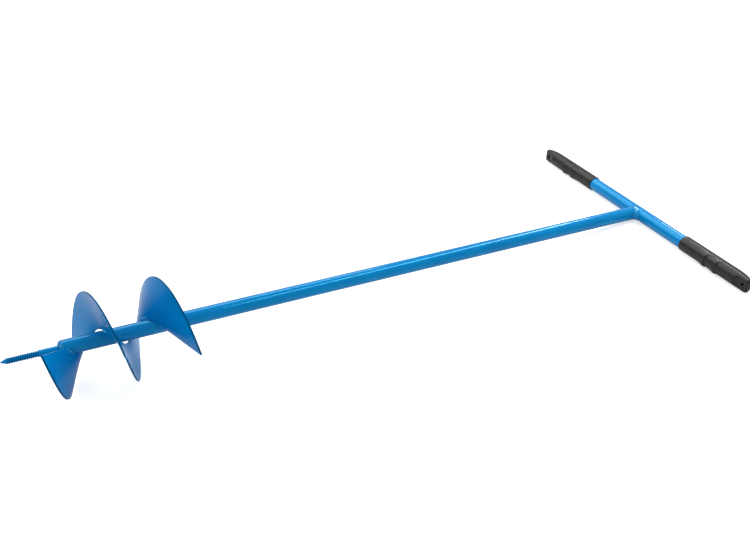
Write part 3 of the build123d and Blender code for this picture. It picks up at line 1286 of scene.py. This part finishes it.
# ---- grips ---------------------------------------------------------------------------------
@dataclass
class Grip:
    """A moulded sleeve with finger ridges and a holed tab."""

    tool: ToolFrame
    node: str
    side: int
    bore_depth: float = 122.0 * MM
    lip: float = 1.3 * MM
    ridge_ends: tuple[float, ...] = (60.0 * MM, 84.0 * MM)
    ridge_length: float = 20.0 * MM
    ridge_height: float = 2.3 * MM
    step_length: float = 1.0 * MM
    ridge_half_angle: float = 76.0
    ridge_flat: float = 0.45
    tab_front: float = 8.5 * MM
    tab_length: float = 21.0 * MM
    tab_run: float = 8.0 * MM
    slope_length: float = 22.0 * MM
    narrowing: float = 0.14
    slope_end: float = 2.0 * MM
    corner_length: float = 27.0 * MM
    corner_angle: float = 125.0
    corner_drop: float = 6.0 * MM
    end_round: float = 5.0 * MM
    hole_inset: float = 10.5 * MM
    hole_radius: float = 2.55 * MM
    countersink: float = 1.1 * MM
    punch_flare: tuple[tuple[float, float], ...] = (
        (-16.0, 1.0), (-8.4, 1.0), (-6.6, 0.0), (8.5, 0.0), (9.8, 1.0), (16.0, 1.0)
    )
    dish: float = 0.7 * MM
    dish_edge: tuple[float, float] = (5.5 * MM, 7.5 * MM)
    dish_run: float = 3.0 * MM
    dish_end: tuple[float, float] = (5.0 * MM, 2.5 * MM)
    blend: float = 1.5 * MM
    clear_of_front: float = 3.0 * MM
    clear_of_back: float = 1.0 * MM
    clear_of_corner: float = 0.4 * MM
    back_curve: float = 1.5
    corner_curve: float = 1.6
    corner_faces: float = 0.3
    flank_width: float = 1.12
    least_radius: float = 0.3 * MM
    groove_width: float = 1.1 * MM
    groove_depth: float = 0.6 * MM
    groove_fade: tuple[float, float] = (0.5, 0.85)
    sides: int = 96
    lip_rings: int = 5
    ring_gap: float = 1.0 * MM
    ringless: float = 6.0 * MM
    tip_rings: int = 7
    voxel: float = 0.65 * MM

    def __post_init__(self) -> None:
        """Measure the grip and the bar in it."""
        box = self.tool.extent(self.node)
        bar = self.tool.extent("crossbar_tube")
        self.length = box.half.y * 2
        self.mouth = min(abs(box.low.y), abs(box.high.y))
        self.radius = box.half.z
        self.bar_at = bar.centre.x
        self.bore = bar.half.x

    def ridge(self, along: float, angle: float) -> float:
        """How far the finger ridges stand out.

        Args:
            along: Distance from the mouth.
            angle: Angle round the grip in degrees, 0 at the front.

        Returns:
            The height there.
        """
        height = 0.0
        for end in self.ridge_ends:
            rise = ease(along, end - self.ridge_length, end - self.step_length)
            fall = 1 - ease(along, end - self.step_length, end)
            height = max(height, rise * fall)
        flat = self.ridge_half_angle * self.ridge_flat
        near = 1 - ease(abs(angle), flat, self.ridge_half_angle)
        return self.ridge_height * height * near

    def groove(self, along: float, angle: float) -> float:
        """Depth of the narrow groove under each ridge's step.

        Args:
            along: Distance from the mouth.
            angle: Angle round the grip in degrees, 0 at the front.

        Returns:
            The depth there.
        """
        start, end = (self.ridge_half_angle * share for share in self.groove_fade)
        near = 1 - ease(abs(angle), start, end)
        dips = [exp(-(((along - end) / self.groove_width) ** 2)) for end in self.ridge_ends]
        return sum(self.groove_depth * dip for dip in dips) * near

    def outside(self, along: float, angle: float) -> float:
        """The grip's radius.

        Args:
            along: Distance from the mouth.
            angle: Angle round the grip in degrees, 0 at the front, 90 at the top.

        Returns:
            The radius there.
        """
        cut_in = self.lip * (1 - sqrt(1 - (1 - min(1.0, along / self.lip)) ** 2))
        radius = self.radius - cut_in + self.ridge(along, angle) - self.groove(along, angle)
        facing = cos(radians(angle))
        blend = self.blend
        tab_root = self.length - self.tab_length
        if facing > SIDE_ON:
            front = self.radius + self.clear_of_front
            front += (self.tab_front - front) * ease(along, tab_root - self.tab_run, tab_root)
            across = abs(sin(radians(angle))) * self.tab_front / facing
            dished = 1 - ease(across, *self.dish_edge)
            dished *= ease(along, tab_root, tab_root + self.dish_run)
            start, end = (self.length - inset for inset in self.dish_end)
            dished *= 1 - ease(along, start, end)
            radius = soft_least(radius, (front - self.dish * dished) / facing, blend)
        elif facing < -SIDE_ON:
            share = max(0.0, (along - self.length + self.slope_length) / self.slope_length)
            flat = self.radius + self.clear_of_back
            back = flat + (self.slope_end - flat) * share**self.back_curve
            radius = soft_least(radius, back / -facing, blend)
        share = max(0.0, 1 - (self.length - along) / self.corner_length)
        corner = cos(radians(abs(angle) - self.corner_angle))
        if share > 0 and corner > self.corner_faces:
            limit = self.radius + self.clear_of_corner - self.corner_drop * share**self.corner_curve
            radius = soft_least(radius, limit / corner, blend)
        taper = ease(along, self.length - self.slope_length, self.length)
        flank = self.radius * (self.flank_width - self.narrowing * taper)
        aside = max(FRONT_ON, abs(sin(radians(angle))))
        radius = soft_least(radius, flank / aside, blend)
        left = self.length - along
        if left < self.end_round:
            share = 1 - left / self.end_round
            loss = 1 - sqrt(max(0.0, 1 - share * share))
            radius *= 1 - self.end_round / self.radius * loss
        return max(radius, self.least_radius)

    def place(self, along: float, angle: float, radius: float) -> Vector:
        """A point of the grip in the world."""
        turned = radians(angle)
        x = self.bar_at - radius * cos(turned)
        return self.tool.at(x, self.side * (self.mouth + along), radius * sin(turned))

    def make_sleeve(self) -> bpy.types.Object:
        """The sleeve, with its bore and no hang hole yet.

        Returns:
            The piece.
        """
        skin = Skin()
        angles = [360 * i / self.sides - 180 for i in range(self.sides)]
        fine = [self.lip * i / self.lip_rings for i in range(self.lip_rings)]
        count = int((self.length - self.ringless) / self.ring_gap)
        body = [self.lip + self.ring_gap * i for i in range(count)]
        tip_start = self.length - self.end_round
        body = [along for along in body if along < tip_start]
        tip_turns = [pi / 2 * i / self.tip_rings for i in range(self.tip_rings + 1)]
        tip = [tip_start + self.end_round * sin(turn) for turn in tip_turns]
        rings = [[self.place(s, a, self.outside(s, a)) for a in angles] for s in fine + body + tip]
        made = skin.loft(rings)
        skin.cap_fan(made[-1])
        bore = [[self.place(s, a, self.bore) for a in angles] for s in (0.0, self.bore_depth)]
        inner = skin.loft(bore)
        skin.bridge(made[0], inner[0])
        skin.cap_fan(inner[-1])
        return skin.build(self.node + "_moulding", 60)

    def make_punch(self) -> bpy.types.Object:
        """A flared pin that cuts the hang hole.

        Returns:
            The pin.
        """
        skin = Skin()
        count = 40
        at = self.side * (self.mouth + self.length - self.hole_inset)
        rings = []
        for ahead, flare in self.punch_flare:
            radius = self.hole_radius + self.countersink * flare
            x = self.bar_at + ahead * MM
            turns = [2 * pi * i / count for i in range(count)]
            rings.append([self.tool.at(x, at + radius * cos(t), radius * sin(t)) for t in turns])
        skin.rod(rings)
        return skin.build(self.node + "_punch")

    def build(self) -> None:
        """Make the grip, pierce it, give it a moulding's soft edges, and dress it."""
        sleeve, punch = self.make_sleeve(), self.make_punch()
        cut = sleeve.modifiers.new("hang_hole", "BOOLEAN")
        cut.object = punch
        cut.operation = "DIFFERENCE"
        settle(sleeve)
        bpy.data.objects.remove(punch)
        remesh = sleeve.modifiers.new("even_mesh", "REMESH")
        remesh.mode = "VOXEL"
        remesh.voxel_size = self.voxel
        remesh.use_smooth_shade = True
        smooth = sleeve.modifiers.new("soft_form", "SMOOTH")
        smooth.factor = 0.5
        smooth.iterations = 3
        settle(sleeve)
        sleeve.data.shade_smooth()
        dress(sleeve, VINYL, Slot.GRIP, self.node)


# ---- studio ----------------------------------------------------------------------------------
@dataclass(frozen=True)
class Softbox:
    """An area light aimed at a point of the tool."""

    name: str
    stand: tuple[float, float, float]
    size: tuple[float, float]
    power: float
    aim: tuple[float, float, float] = (0.55, 0.0, 0.0)
    along: tuple[float, float, float] = (1.0, 0.0, 0.0)

    def build(self, tool: ToolFrame) -> None:
        """Hang the light.

        Args:
            tool: The tool's frame.
        """
        lamp = bpy.data.lights.new(self.name, "AREA")
        lamp.shape = "RECTANGLE"
        lamp.size, lamp.size_y = self.size
        lamp.energy = self.power
        place = tool.at(*self.stand)
        back = (place - tool.at(*self.aim)).normalized()
        across = back.cross(tool.turn(self.along)).normalized()
        holder = enter(self.name, lamp)
        holder.matrix_world = stand_at(place, across.cross(back), across, back)


@dataclass
class Studio:
    """Pale floor, soft lights and the camera."""

    tool: ToolFrame
    stand: tuple[float, float, float] = (0.0260, -1.0453, 0.7300)
    look: tuple[float, float, float] = (0.3779, 0.7584, -0.5311)
    up: tuple[float, float, float] = (0.2141, 0.4865, 0.8471)
    lens: float = 42.84
    sensor: float = 36.0
    floor_half: float = 60.0
    sky: float = 0.62
    backdrop: float = 1.0
    boxes: tuple[Softbox, ...] = (
        Softbox("strip_box", (1.28, 0.03, 1.25), (2.1, 0.14), 16.0, along=(1.35, 1.35, 0.30)),
        Softbox("back_box", (0.30, 1.50, 1.80), (2.6, 1.2), 32.0),
        Softbox("point_box", (-1.30, -0.30, 0.70), (0.9, 0.9), 5.0, (0.15, 0.0, 0.0)),
    )

    def make_camera(self) -> None:
        """Set up the camera."""
        lens = bpy.data.cameras.new("camera")
        lens.lens = self.lens
        lens.sensor_width = self.sensor
        camera = enter("camera", lens)
        back = -self.tool.turn(self.look).normalized()
        right = self.tool.turn(self.up).cross(back).normalized()
        spot = self.tool.at(*self.stand)
        camera.matrix_world = stand_at(spot, right, back.cross(right), back)
        bpy.context.scene.camera = camera

    def make_floor(self) -> None:
        """Lay the floor under the tool."""
        skin = Skin()
        half = self.floor_half
        corners = [(-half, -half), (half, -half), (half, half), (-half, half)]
        skin.faces.append(skin.ring([Vector((x, y, 0)) for x, y in corners]))
        floor = skin.build("studio_floor")
        floor.data.materials.append(SWEEP.material())

    def make_sky(self) -> None:
        """Even, pale light from all round."""
        world = bpy.data.worlds.new("studio_air")
        world.use_nodes = True
        world.node_tree.nodes.clear()
        wiring = Wiring(world.node_tree)
        seen = wiring.add("ShaderNodeLightPath").outputs["Is Camera Ray"]
        strength = wiring.remap(seen, 0.0, 1.0, self.sky, self.backdrop)
        given = {"Color": (1.0, 1.0, 1.0, 1.0), "Strength": strength}
        air = wiring.add("ShaderNodeBackground", given)
        end = wiring.add("ShaderNodeOutputWorld")
        world.node_tree.links.new(air.outputs["Background"], end.inputs["Surface"])
        bpy.context.scene.world = world

    def build(self) -> None:
        """Set up the whole studio."""
        self.make_camera()
        self.make_floor()
        self.make_sky()
        for box in self.boxes:
            box.build(self.tool)
        bpy.context.scene.view_settings.view_transform = "Standard"


def main() -> None:
    """Build the auger's pieces in order, then the studio."""
    logging.basicConfig(level=logging.INFO, format="%(name)s: %(message)s")
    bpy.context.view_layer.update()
    tool = ToolFrame.from_record(frame["record"])
    Studio(tool).build()
    tubes = Tubes(tool)
    tubes.build()
    HandleWeld(tubes).build()
    PilotScrew(tool).build()
    flight = Flight(tool)
    flight.build()
    for node, first, last, face in BEADS:
        FilletBead(flight, node, first, last, face).build()
    Grip(tool, "left_grip", 1).build()
    Grip(tool, "right_grip", -1).build()


if __name__ == "__main__":
    main()
